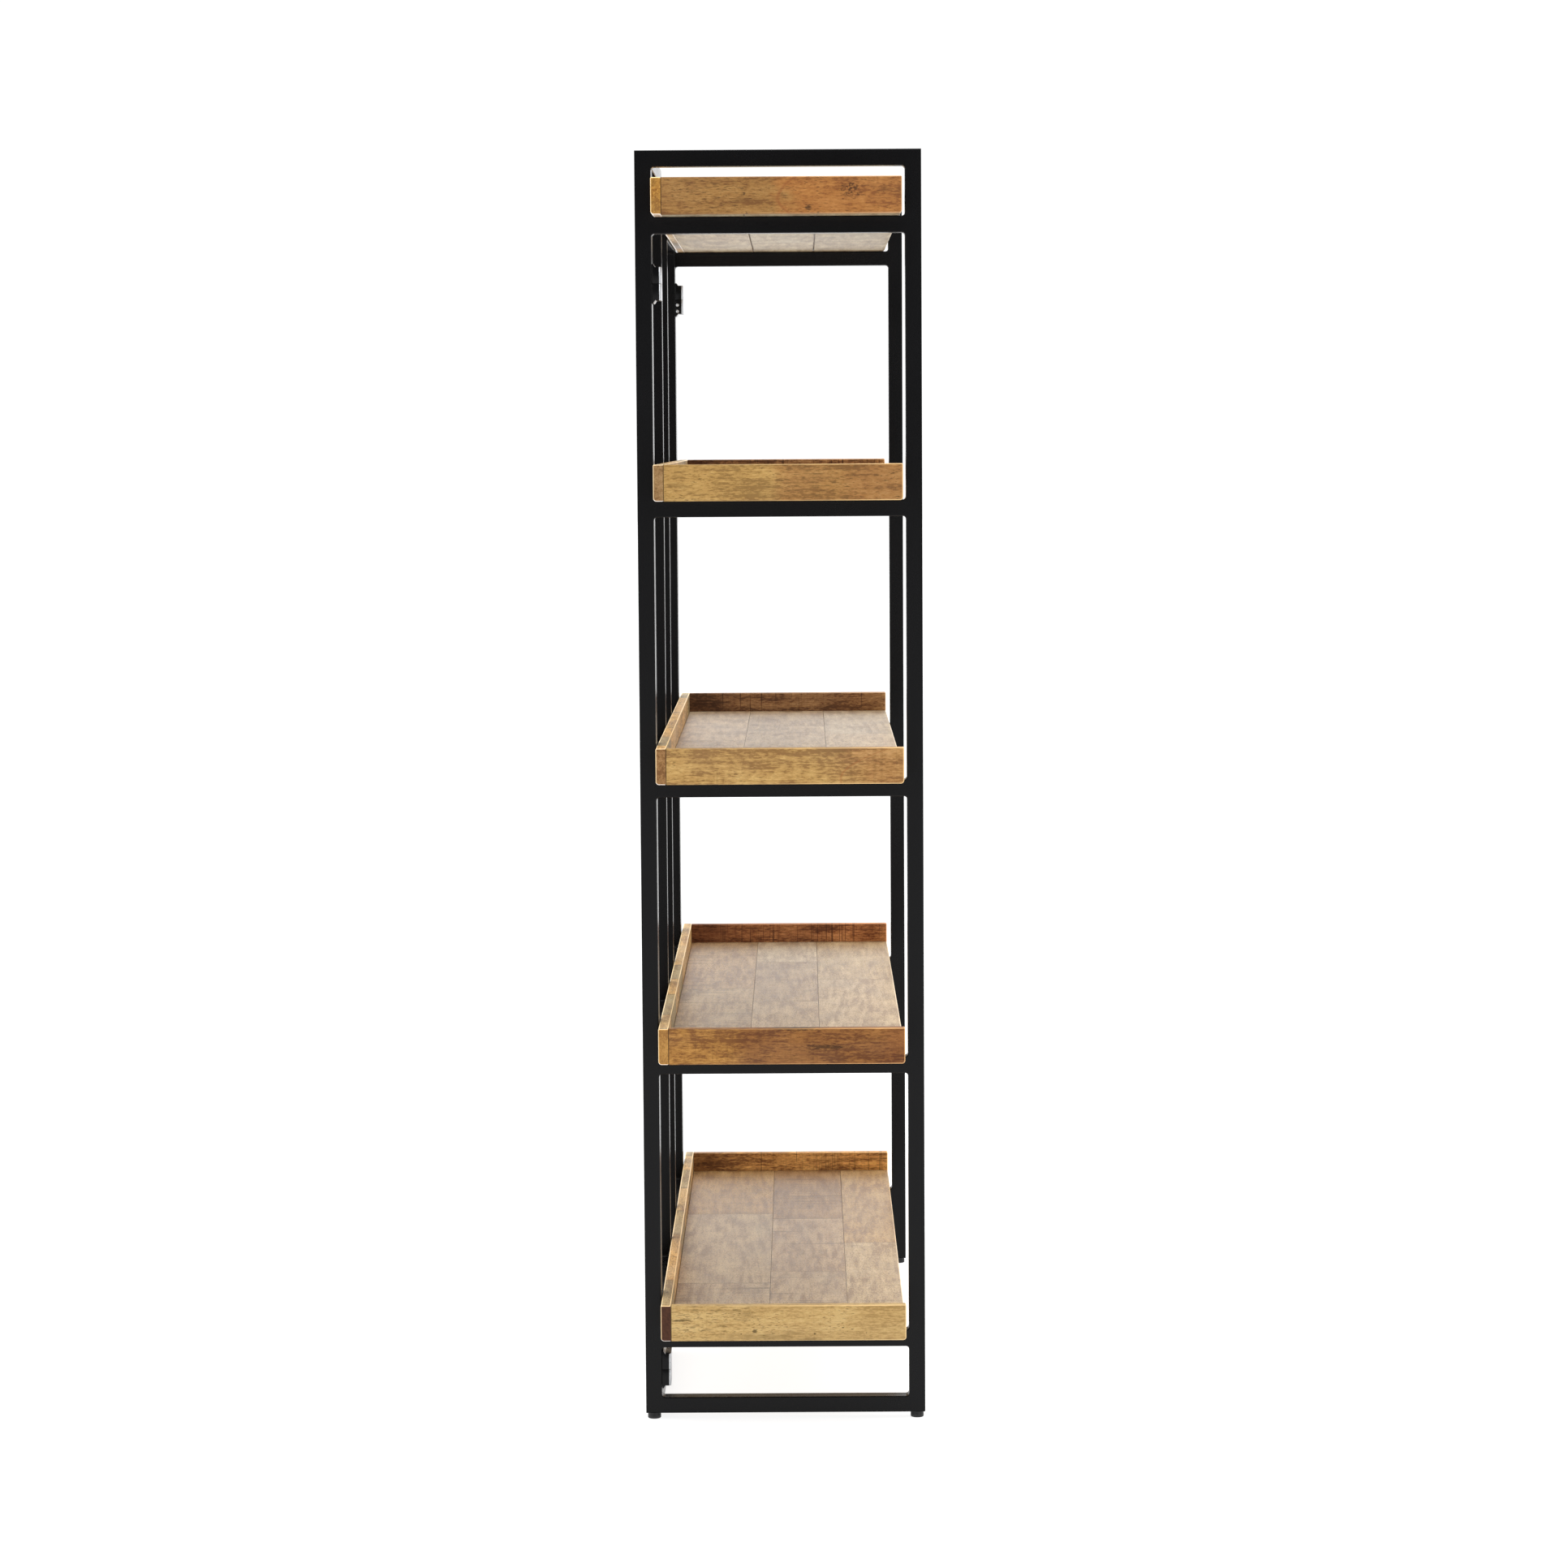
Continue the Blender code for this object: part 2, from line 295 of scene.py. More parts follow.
def set_edge_paint(mesh, low, high):
    """Stores 1 on points in the middle of a rounded edge and 0 on the flat faces: these rounded edges are
    painted pale, partly as worn wood and partly as painted highlight.
    """
    points = np.array([v.co for v in mesh.vertices])
    at_low, at_high = (np.isclose(points, np.array(c), atol=SAME_POINT) for c in (low, high))
    flat = at_low | at_high
    layer = mesh.attributes.new("edge_paint", "FLOAT", "POINT")
    layer.data.foreach_set("value", (~flat.any(axis=1)).astype(np.float32))


def set_joints(mesh, low, high, last):
    """Stores -1 at a stave's joints, where dirt gathers, and 1 on the front plank's nose, which is painted
    pale: partly worn wood, partly painted highlight.
    """
    layer = mesh.attributes.new("edge_paint", "FLOAT", "POINT")
    for vert, value in zip(mesh.vertices, layer.data):
        x, y, z = vert.co
        below_top = high[2] - z
        in_front = last and y < low[1] + EDGE_RADIUS + SAME_POINT
        nose = in_front and SAME_POINT < below_top < EDGE_RADIUS + SAME_POINT
        joint = SAME_POINT < below_top < PLANK_TOP_ROUND + SAME_POINT
        end = min(x - low[0], high[0] - x) < SAME_POINT
        value.value = 1.0 if nose else -1.0 * (joint or end)


def set_tint(mesh, axis, side, end, under=None, age=1.0):
    """Stores the tints of the long sides, end grain and underside, and how marked the wood is."""
    values = []
    for face in mesh.polygons:
        if abs(face.normal["XYZ".index(axis)]) > 0.9:
            values.extend(end)
        elif face.normal.z < -0.3:
            values.extend(under or side)
        else:
            values.extend(side)
    layer = mesh.attributes.new("tint", "FLOAT_VECTOR", "FACE")
    layer.data.foreach_set("vector", values)
    layer = mesh.attributes.new("age", "FLOAT", "FACE")
    layer.data.foreach_set("value", [age] * len(mesh.polygons))


def stave_offset(name):
    """Where in the log a stave was cut: far from any other, and the same on each run."""
    draw = random.Random(name)
    return (draw.uniform(2, 9), draw.uniform(1, 3), draw.uniform(1, 3))


def bevel_edges(work, wanted, radius, segments):
    """Rounds the sharp edges that wanted says yes to, given an edge's middle and its run."""
    edges = [
        e for e in work.edges
        if len(e.link_faces) == 2 and e.calc_face_angle(0) > math.radians(40)
        and wanted((e.verts[0].co + e.verts[1].co) / 2, e.verts[1].co - e.verts[0].co)
    ]
    bmesh.ops.bevel(work, geom=edges, offset=radius, segments=segments, profile=0.5, affect="EDGES")


def board_mesh(name, low, high, axis, offset, origin, heart, outside, side=WHITE, end=WHITE, under=None):
    """A rim board, well rounded at the lower corner of its outside (a Y), and sharp at its joint."""
    work = bmesh.new()
    bmesh.ops.create_cube(work, size=1)
    middle = (Vector(low) + Vector(high)) / 2
    size = Vector(high) - Vector(low)
    for vert in work.verts:
        vert.co = middle + Vector(a * b for a, b in zip(vert.co, size))

    def at(value, target):
        return abs(value - target) < TOUCHING

    inside = low.y if at(outside, high.y) else high.y
    bevel_edges(work, lambda m, d: at(m.y, outside) and at(m.z, low.z) and at(d.y, 0), LOW_CORNER, 6)
    bevel_edges(work, lambda m, d: at(m.y, outside) and at(m.z, high.z) and at(d.y, 0), HIGH_CORNER, 4)
    joint = (lambda m, d: at(m.y, inside)) if axis == "Y" else (lambda m, d: at(m.y, inside) and at(d.x, 0))
    bevel_edges(work, lambda m, d: not joint(m, d), EDGE_RADIUS, 3)
    mesh = finished_mesh(work, name)
    shade(mesh)
    set_grain(mesh, axis, origin, offset, heart)
    set_edge_paint(mesh, low, high)
    set_tint(mesh, axis, side, end, under)
    return mesh


def plank_outline(low, high, first, last):
    """Section of a plank across Y and Z: a slot below each joint, and a rounded front to the last."""
    top = PLANK_TOP_ROUND
    slot_top = low[1] + GROOVE_DEPTH
    front = [(low[0], slot_top), (low[0] + GROOVE_HALF, slot_top), (low[0] + GROOVE_HALF, low[1])]
    if last:
        front = arc((low[0] + LOW_CORNER, low[1] + LOW_CORNER), LOW_CORNER, 180)
    back = [(high[0] - GROOVE_HALF, low[1]), (high[0] - GROOVE_HALF, slot_top), (high[0], slot_top)]
    if first:
        back = [(high[0], low[1])]
    nose = EDGE_RADIUS if last else top
    high_back = arc((high[0] - top, high[1] - top), top, 0, 3)
    high_front = arc((low[0] + nose, high[1] - nose), nose, 90, 3)
    return [*front, *back, *high_back, *high_front]


def stave_mesh(name, low, high, outline, origin, last, tint, age):
    """A length of floor plank: its section run along X."""
    work = bmesh.new()
    stops = (low[0], low[0] + SEAM_REACH, high[0] - SEAM_REACH, high[0])
    skin(work, [[work.verts.new((x, y, z)) for y, z in outline] for x in stops])
    bmesh.ops.recalc_face_normals(work, faces=work.faces)
    mesh = finished_mesh(work, name)
    shade(mesh)
    draw = random.Random(name + "_heart")
    heart = (draw.uniform(low[0], high[0]), draw.uniform(low[1], high[1]), 0.0)
    set_grain(mesh, "X", origin, stave_offset(name), heart)
    set_joints(mesh, low, high, last)
    set_tint(mesh, "X", tint, tint, tint, age)
    return mesh


# ---------------------------------------------------------------- materials


class Nodes:
    """Short calls that build one material's node tree."""

    def __init__(self, name):
        self.material = bpy.data.materials.new(name)
        self.material.use_nodes = True
        self.tree = self.material.node_tree
        self.shader = self.tree.nodes["Principled BSDF"]

    def put(self, socket, value):
        if isinstance(value, bpy.types.NodeSocket):
            self.tree.links.new(value, socket)
        else:
            socket.default_value = value

    def add(self, kind, inputs, **settings):
        node = self.tree.nodes.new("ShaderNode" + kind)
        for key, value in settings.items():
            setattr(node, key, value)
        for key, value in inputs.items():
            self.put(node.inputs[key], value)
        return node

    def object_place(self):
        return self.add("TexCoord", {}).outputs["Object"]

    def attribute(self, name, output="Vector"):
        return self.add("Attribute", {}, attribute_name=name).outputs[output]

    def split(self, vector):
        return self.add("SeparateXYZ", {0: vector}).outputs

    def math(self, operation, a, b=0.0):
        return self.add("Math", {0: a, 1: b}, operation=operation).outputs[0]

    def plus(self, a, b):
        return self.math("ADD", a, b)

    def minus(self, a, b):
        return self.math("SUBTRACT", a, b)

    def times(self, a, b):
        return self.math("MULTIPLY", a, b)

    def opposite(self, value):
        return self.minus(1.0, value)

    def shift(self, value, amount):
        """A noise value moved to run about zero, times an amount."""
        return self.times(self.minus(value, 0.5), amount)

    def vector(self, operation, a, b):
        return self.add("VectorMath", {0: a, 1: b}, operation=operation).outputs["Vector"]

    def length(self, vector):
        return self.add("VectorMath", {0: vector}, operation="LENGTH").outputs["Value"]

    def noise(self, place, stretch, detail=2.0, roughness=0.55):
        """Noise with the given number of waves to a metre along each axis."""
        scaled_place = self.vector("MULTIPLY", place, stretch)
        inputs = {"Vector": scaled_place, "Scale": 1.0, "Detail": detail, "Roughness": roughness}
        return self.add("TexNoise", inputs).outputs[0]

    def band(self, value, low, high):
        """0 below low and 1 above high, with a soft step between."""
        inputs = {"Value": value, "From Min": low, "From Max": high, "To Min": 0.0, "To Max": 1.0}
        return self.add("MapRange", inputs, interpolation_type="SMOOTHSTEP").outputs[0]

    def blend(self, share, a, b, how="MIX"):
        node = self.add("Mix", {}, data_type="RGBA", blend_type=how)
        self.put(node.inputs[0], share)
        for socket, value in ((node.inputs[6], a), (node.inputs[7], b)):
            self.put(socket, (*value, 1.0) if isinstance(value, tuple) else value)
        return node.outputs[2]

    def bump(self, height, distance, strength):
        inputs = {"Height": height, "Distance": distance, "Strength": strength}
        self.put(self.shader.inputs["Normal"], self.add("Bump", inputs).outputs[0])

    def finish(self, **values):
        for key, value in values.items():
            name = key.replace("_", " ")
            name = {"Specular": "Specular IOR Level"}.get(name, name)
            self.put(self.shader.inputs[name], (*value, 1.0) if isinstance(value, tuple) else value)
        return self.material


def scaled(colour, factor):
    """A colour made darker or lighter."""
    return tuple(channel * factor for channel in colour)


class Wood(Nodes):
    """Oiled mango wood in layers: each step works on self.colour. Colours are linear."""

    def __init__(self, name, dark, middle, light):
        super().__init__(name)
        self.dark, self.middle, self.light = dark, middle, light
        self.place = self.attribute("grain")
        self.log = self.attribute("log")
        self.age = self.attribute("age", "Fac")
        self.edge_paint = self.attribute("edge_paint", "Fac")
        self.in_log = self.split(self.log)
        self.patch = self.noise(self.place, (13.0, 28.0, 28.0), 3.0)
        self.colour = None

    def growth_rings(self, spacing, sway, pith):
        """Distance from a pith at (across, under the face, slope), stepped; clearer in some areas."""
        across_at, under, slope = pith
        drift = self.shift(self.noise(self.place, (5.0, 12.0, 12.0), 2.0), sway)
        across = self.plus(self.minus(self.in_log["Y"], across_at), drift)
        depth = self.plus(self.times(self.in_log["X"], slope), under)
        depth = self.plus(self.plus(depth, self.in_log["Z"]), drift)
        radius = self.length(self.add("CombineXYZ", {"X": across, "Y": depth}).outputs[0])
        phase = self.math("FRACT", self.times(radius, 1.0 / spacing))
        ring = self.times(self.band(phase, 0.1, 0.85), self.opposite(self.band(phase, 0.88, 1.0)))
        clear = self.band(self.noise(self.place, (6.0, 18.0, 18.0), 1.0), 0.36, 0.60)
        return self.times(ring, clear)

    def lay_grain(self, ring, rings, run):
        """Broad bands, fibres, patches and mottle, and the rings over them, from dark to light."""
        self.broad = self.noise(self.place, (7.0 * run, 120.0, 120.0), 3.0)
        self.fibre = self.noise(self.place, (42.0 * run, 620.0, 620.0), 2.0)
        self.mottle = self.noise(self.place, (120.0 * run, 380.0, 380.0), 3.0, 0.7)
        tone = self.plus(self.shift(self.broad, 0.30), self.shift(self.fibre, 0.22))
        tone = self.plus(tone, self.shift(self.patch, 0.34))
        tone = self.plus(tone, self.shift(self.mottle, 0.42))
        tone = self.minus(tone, self.times(ring, 0.09 * rings))
        self.colour = self.blend(self.band(tone, -0.10, 0.01), self.dark, self.middle)
        self.colour = self.blend(self.band(tone, 0.0, 0.11), self.colour, self.light)

    def fade_ends(self, fades):
        """One end of a board redder or darker than the other: fades are (from, to, tint) along it."""
        edge = self.shift(self.noise(self.place, (16.0, 26.0, 26.0), 3.0), 0.10)
        along = self.plus(self.in_log["X"], edge)
        for start, end, tint in fades:
            self.colour = self.blend(self.band(along, start, end), self.colour, tint, "MULTIPLY")

    def join_lengths(self, length):
        """Short lengths of different boards, joined end to end, with a dark line at each joint."""
        along = self.times(self.split(self.place)["X"], 1.0 / length)
        along = self.plus(along, self.shift(self.noise(self.place, (4.0, 0.0, 0.0)), 1.6))
        piece = self.math("FLOOR", along)
        pick = self.add("TexWhiteNoise", {"W": piece}, noise_dimensions="1D").outputs["Value"]
        tint = self.blend(self.band(pick, 0.3, 0.7), (1.16, 1.02, 0.82), (0.70, 0.74, 0.78))
        self.colour = self.blend(1.0, self.colour, tint, "MULTIPLY")
        crack = self.opposite(self.band(self.math("PINGPONG", along, 0.5), 0.0, 0.035))
        self.colour = self.blend(self.times(crack, 0.5), self.colour, scaled(self.dark, 0.35))

    def weather(self, grey):
        """Weathered grey patches, and darker bands where the log was stained."""
        weathered = self.band(self.noise(self.place, (6.0, 14.0, 14.0), 2.0), 0.46, 0.64)
        self.colour = self.blend(self.times(weathered, grey), self.colour, (0.33, 0.27, 0.21))
        stain = self.band(self.noise(self.place, (10.0, 36.0, 36.0), 4.0, 0.65), 0.57, 0.74)
        stain = self.times(stain, self.plus(self.times(self.age, 0.35), 0.15))
        self.colour = self.blend(stain, self.colour, scaled(self.dark, 0.5))

    def open_pores(self, flecks):
        """Short dark dashes along the grain, thicker in some areas than others."""
        crowd = self.plus(self.times(self.band(self.patch, 0.42, 0.60), 0.8), 0.2)
        pore = self.times(self.band(self.noise(self.place, (150.0, 900.0, 900.0), 1.0), 0.60, 0.70), crowd)
        self.colour = self.blend(self.times(pore, flecks), self.colour, scaled(self.dark, 0.25))
        return pore

    def saw_marks(self, saw, kerf_step):
        """Fine lines square to the grain, left in places, and a few deeper and longer ones."""
        fine = self.noise(self.place, (1.0 / kerf_step, 5.0, 5.0), 1.0, 0.6)
        left = self.noise(self.place, (5.0, 9.0, 9.0), 3.0)
        kerf = self.times(self.band(fine, 0.56, 0.70), self.band(left, 0.44, 0.62))
        deep = self.band(self.noise(self.place, (0.6 / kerf_step, 4.0, 4.0), 1.0, 0.5), 0.66, 0.74)
        kerf = self.times(self.math("MAXIMUM", kerf, deep), self.times(self.age, saw))
        self.colour = self.blend(kerf, self.colour, scaled(self.dark, 0.4))
        return kerf

    def add_mark(self, along, height, size, kind):
        """Darker wood round one point of the board."""
        offset = self.vector("SUBTRACT", self.log, (along, height, 0.0))
        reach_along, reach_across, strength, darkness = MARKS[kind]
        reach = self.length(self.vector("MULTIPLY", offset, (reach_along, reach_across, 0.0)))
        if kind != "seam":
            reach = self.plus(reach, self.shift(self.mottle, 2.2 * size))
        inside = self.opposite(self.band(reach, 0.3 * size, size))
        if kind == "hatch":
            lines = self.noise(self.place, (330.0, 520.0, 520.0), 1.0)
            inside = self.times(inside, self.band(lines, 0.42, 0.58))
        if kind == "dashes":
            dashes = self.noise(self.place, (75.0, 420.0, 420.0), 2.0)
            inside = self.times(inside, self.band(dashes, 0.54, 0.64))
        self.colour = self.blend(self.times(inside, strength), self.colour, scaled(self.dark, darkness))

    def add_arch(self, along, height, size):
        """A red line that opens towards the front from its apex."""
        offset = self.split(self.vector("SUBTRACT", self.log, (along, height, 0.0)))
        square = self.times(self.times(offset["Y"], offset["Y"]), ARCH_CURVE)
        gap = self.plus(self.plus(offset["X"], square), self.shift(self.patch, 3.0 * size))
        inside = self.opposite(self.band(self.math("ABSOLUTE", gap), 0.0, size))
        red = (self.dark[0] * 1.25, self.dark[1] * 0.85, self.dark[2] * 0.8)
        self.colour = self.blend(self.times(inside, 0.5), self.colour, red)

    def pale_and_dirty_edges(self):
        """Edges painted pale, partly as rubbed wood and partly as painted highlight, dirt in the joints,
        and each face's own tint over all.
        """
        # painted highlight: the rounded edges are painted pale, partly for the light they catch and partly
        # for rubbed wood
        pale_edge = self.times(self.edge_paint, self.plus(self.times(self.patch, 0.7), 0.5))
        pale = tuple(min(1.0, channel * 1.35 + 0.10) for channel in self.light)
        self.colour = self.blend(self.math("MAXIMUM", pale_edge, 0.0), self.colour, pale)
        dirt = self.times(self.edge_paint, self.times(self.band(self.patch, 0.35, 0.65), -0.75))
        self.colour = self.blend(self.math("MAXIMUM", dirt, 0.0), self.colour, scaled(self.dark, 0.25))
        self.colour = self.blend(1.0, self.colour, self.attribute("tint", "Color"), "MULTIPLY")


def wood(name, dark, middle, light, *, flecks, saw, rings, grey, spacing=6 * MM, sway=0.05,
         pith=(0.03, 0.06, 0.1), marks=(), fades=(), lengths=0.0, roughness=0.5, specular=0.25,
         run=1.0, kerf_step=3 * MM):
    """A board's wood. The shares flecks, saw, rings and grey set how strong each layer is."""
    n = Wood(name, dark, middle, light)
    n.lay_grain(n.growth_rings(spacing, sway, pith), rings, run)
    n.fade_ends(fades)
    if lengths:
        n.join_lengths(lengths)
    n.weather(grey)
    pore = n.open_pores(flecks)
    kerf = n.saw_marks(saw, kerf_step)
    for along, height, size, kind in marks:
        if kind == "arch":
            n.add_arch(along, height, size)
        else:
            n.add_mark(along, height, size, kind)
    n.pale_and_dirty_edges()
    rough = n.plus(n.plus(n.shift(n.fibre, 0.3), roughness), n.times(pore, 0.2))
    relief = n.plus(n.times(n.fibre, 0.5), n.times(n.broad, 0.5))
    relief = n.minus(relief, n.times(pore, 0.7))
    relief = n.minus(relief, n.times(kerf, 0.9))
    n.bump(relief, GRAIN_RELIEF, 0.45)
    return n.finish(Base_Color=n.colour, Roughness=rough, Specular=specular)


def powder_coat():
    """Satin black powder coat: a faint orange peel, with the gloss varying a little."""
    n = Nodes("frame_black")
    place = n.object_place()
    cloud = n.noise(place, (7.0, 7.0, 7.0), 3.0)
    peel = n.noise(place, (900.0, 900.0, 900.0), 1.0)
    colour = n.blend(cloud, (0.0029, 0.0029, 0.0033), (0.0043, 0.0043, 0.0049))
    rough = n.plus(n.times(cloud, 0.12), n.times(peel, 0.05))
    n.bump(peel, PEEL_RELIEF, 0.35)
    return n.finish(Base_Color=colour, Roughness=n.plus(rough, 0.17), Specular=0.15)


def moulded_plastic():
    """Matt black plastic with a fine moulded grain."""
    n = Nodes("foot_black")
    place = n.object_place()
    grain = n.noise(place, (1400.0, 1400.0, 1400.0), 2.0)
    scuff = n.band(n.noise(place, (90.0, 90.0, 400.0), 3.0), 0.56, 0.7)
    colour = n.blend(scuff, (0.007, 0.007, 0.0075), (0.016, 0.016, 0.016))
    n.bump(grain, MOULDED_RELIEF, 0.5)
    return n.finish(Base_Color=colour, Roughness=n.plus(n.times(scuff, 0.15), 0.5))


def zinc():
    """Bright zinc plate with fine drawing lines and dull spots."""
    n = Nodes("zinc")
    place = n.object_place()
    drawn = n.noise(place, (2600.0, 2600.0, 200.0), 2.0)
    dull = n.noise(place, (420.0, 420.0, 420.0), 3.0)
    colour = n.blend(dull, (0.62, 0.64, 0.66), (0.42, 0.43, 0.45))
    rough = n.plus(n.times(dull, 0.25), 0.18)
    n.bump(drawn, DRAWN_RELIEF, 0.4)
    return n.finish(Base_Color=colour, Metallic=0.6, Roughness=rough)


def rim_woods():
    """The left end boards, one wood each: colours dark, middle and light, then what marks each board."""
    corner = (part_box("shelf_1_left_end")[1].y, 0.0, 1.3 * MM, "seam")  # where it meets the back board
    return {
        1: wood(
            "rim_1", (0.37, 0.225, 0.074), (0.54, 0.350, 0.131), (0.615, 0.425, 0.176),
            flecks=0.9, saw=0.1, rings=0.15, grey=0.05,
            marks=(
                corner, (0.11, 0.035, 0.085, "dashes"), (0.043, 0.014, 0.0042, "knot"),
                (0.062, 0.010, 0.0020, "knot"), (-0.042, 0.010, 0.0018, "knot"),
                (-0.115, 0.011, 0.0018, "knot"), (0.148, 0.030, 0.0024, "streak"),
                (0.128, 0.056, 0.0020, "streak"), (-0.130, 0.060, 0.0026, "streak"),
            ),
        ),
        2: wood(
            "rim_2", (0.19, 0.073, 0.016), (0.385, 0.180, 0.040), (0.53, 0.27, 0.067),
            flecks=0.5, saw=0.15, rings=0.6, grey=0.05, spacing=9 * MM,
            fades=((0.085, 0.035, (0.68, 0.58, 0.60)), (-0.10, -0.17, (0.84, 0.76, 0.78))),
            marks=(
                corner, (-0.02, 0.052, 0.006, "streak"), (0.02, 0.068, 0.004, "streak"),
                (-0.06, 0.024, 0.005, "streak"),
            ),
        ),
        3: wood(
            "rim_3", (0.255, 0.132, 0.041), (0.455, 0.268, 0.083), (0.57, 0.365, 0.130),
            flecks=0.55, saw=0.15, rings=0.45, grey=0.04, pith=(0.01, 0.05, -0.3),
            fades=((-0.06, -0.13, (0.88, 0.76, 0.76)),),
            marks=(
                corner, (0.10, 0.070, 0.0045, "streak"), (0.03, 0.058, 0.003, "streak"),
                (-0.083, 0.004, 0.003, "arch"),
            ),
        ),
        4: wood(
            "rim_4", (0.250, 0.138, 0.039), (0.430, 0.252, 0.074), (0.52, 0.33, 0.108),
            flecks=0.8, saw=0.05, rings=0.4, grey=0.02, spacing=4 * MM, pith=(0.026, 0.055, 0.25),
            fades=((0.02, -0.03, (0.84, 0.72, 0.70)), (-0.08, -0.12, (0.90, 0.84, 0.84))),
            marks=(corner, (-0.05, 0.04, 0.09, "dashes")),
        ),
        5: wood(
            "rim_5", (0.172, 0.073, 0.020), (0.290, 0.145, 0.040), (0.355, 0.190, 0.058),
            flecks=0.7, saw=0.05, rings=0.5, grey=0.02, spacing=13 * MM, pith=(0.024, 0.055, 0.25),
            fades=((0.01, -0.02, (1.20, 0.98, 0.86)),),
            marks=(
                corner, (-0.101, 0.033, 0.018, "hatch"), (0.000, 0.022, 0.0040, "arch"),
                (0.08, 0.03, 0.07, "dashes"), (0.046, 0.028, 0.0028, "knot"),
                (-0.042, 0.008, 0.0055, "knot"), (0.043, 0.001, 0.0024, "knot"),
                (-0.056, 0.001, 0.0024, "knot"), (0.145, 0.072, 0.0024, "streak"),
            ),
        ),
    }


def back_wood():
    """The back boards: short lengths of different boards, greyer than the ends."""
    return wood(
        "rim_back", (0.29, 0.17, 0.068), (0.48, 0.33, 0.150), (0.62, 0.46, 0.24),
        flecks=0.5, saw=0.3, rings=0.5, grey=0.25, lengths=0.17,
    )


def sawn_wood():
    """The right end boards: dark and rough from the saw, with painted shade that makes them darkest at the
    back and lighter towards the front.
    """
    return wood(
        "rim_sawn", (0.13, 0.050, 0.017), (0.37, 0.172, 0.062), (0.56, 0.30, 0.115),
        flecks=0.4, saw=0.8, rings=0.3, grey=0.02, kerf_step=2.5 * MM,
        # painted shade: darker towards the back board, lighter towards the front
        fades=((0.055, 0.150, (0.50, 0.46, 0.50)), (-0.06, -0.14, (1.12, 1.08, 1.0))),
    )


def floor_wood():
    """The floors' staves: paler, greyer and glossier than the rims."""
    return wood(
        "floor_planks", (0.27, 0.170, 0.088), (0.45, 0.325, 0.190), (0.58, 0.455, 0.290),
        flecks=0.4, saw=0.55, rings=0.55, grey=0.18, spacing=12 * MM, sway=0.014, pith=(0.0, 0.03, 0.08),
        roughness=0.42, specular=0.5, run=1.6, kerf_step=5 * MM,
    )


# ---------------------------------------------------------------- pieces


def add_ladder_end(side, coat):
    """The end frame is one welded piece: its rungs run flush into the posts with a small weld fillet."""
    outer_low, inner_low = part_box(f"{side}_front_post")
    inner_high, outer_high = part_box(f"{side}_back_post")
    bars = ["bottom_rail", *[f"rung_{k}" for k in LEVELS], "top_rail"]
    boxes = [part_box(f"{side}_{bar}") for bar in bars]
    windows = []
    for below, above in zip(boxes, boxes[1:]):
        windows.append(rounded_rectangle(
            (inner_low.y, below[1].z), (inner_high.y, above[0].z), (WELD_FILLET,) * 4,
        ))
    top = boxes[-1][1].z
    outline = rounded_rectangle((outer_low.y, outer_low.z), (outer_high.y, top), (OUTER_CORNER,) * 4)
    mesh = plate_mesh(f"{side}_ladder", outline, windows, TUBE, TUBE_CORNER)
    middle = (outer_low.x + outer_high.x) / 2
    for vert in mesh.vertices:
        vert.co = (middle + vert.co.z, vert.co.x, vert.co.y)
    shade(mesh)
    nodes = [f"{side}_front_post", f"{side}_back_post", *[f"{side}_{bar}" for bar in bars]]
    new_piece(f"{side}_ladder", mesh, "frame", coat, nodes)


def add_wing(side, coat):
    """The back wing is one welded piece, with a rail behind each tray."""
    node = f"{side}_wing_frame"
    low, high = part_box(node)
    spans = [(low.z, low.z + TUBE)]
    for k in LEVELS:
        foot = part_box(f"{side}_rung_{k}")[1].z + RAIL_LIFT
        spans.append((foot, foot + TUBE))
    spans.append((high.z - TUBE, high.z))
    windows = []
    for below, above in zip(spans, spans[1:]):
        windows.append(rounded_rectangle(
            (low.x + TUBE, below[1]), (high.x - TUBE, above[0]), (WELD_FILLET,) * 4,
        ))
    outline = rounded_rectangle((low.x, low.z), (high.x, high.z), (OUTER_CORNER,) * 4)
    mesh = plate_mesh(node, outline, windows, high.y - low.y, TUBE_CORNER)
    middle = (low.y + high.y) / 2
    for vert in mesh.vertices:
        vert.co = (vert.co.x, middle - vert.co.z, vert.co.y)
    shade(mesh)
    new_piece(f"{side}_wing", mesh, "frame", coat, [node])


def add_foot(node, plastic):
    """A screw-in glide: a round pad with a soft lower rim and a waist, and its threaded stem."""
    low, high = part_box(node)
    centre = ((low.x + high.x) / 2, (low.y + high.y) / 2)
    radius = (high.x - low.x) / 2
    pad_top = low.z + PAD_HEIGHT
    profile = [
        (radius - PAD_ROUND * (1 - math.sin(a)), low.z + PAD_ROUND * (1 - math.cos(a)))
        for a in (math.radians(15 * i) for i in range(7))
    ]
    profile.extend((radius + out * MM, pad_top + up * MM) for out, up in PAD_WAIST)
    height = pad_top
    profile.append((THREAD_ROOT, height))
    while height + THREAD_PITCH < high.z - STEM_TIP:
        profile.append((THREAD_CREST, height + 0.45 * THREAD_PITCH))
        profile.append((THREAD_CREST, height + 0.55 * THREAD_PITCH))
        height += THREAD_PITCH
        profile.append((THREAD_ROOT, height))
    mesh = lathe_mesh(node, profile, centre)
    new_piece(f"{node}_glide", mesh, f"{node}_leveller", plastic, [node])


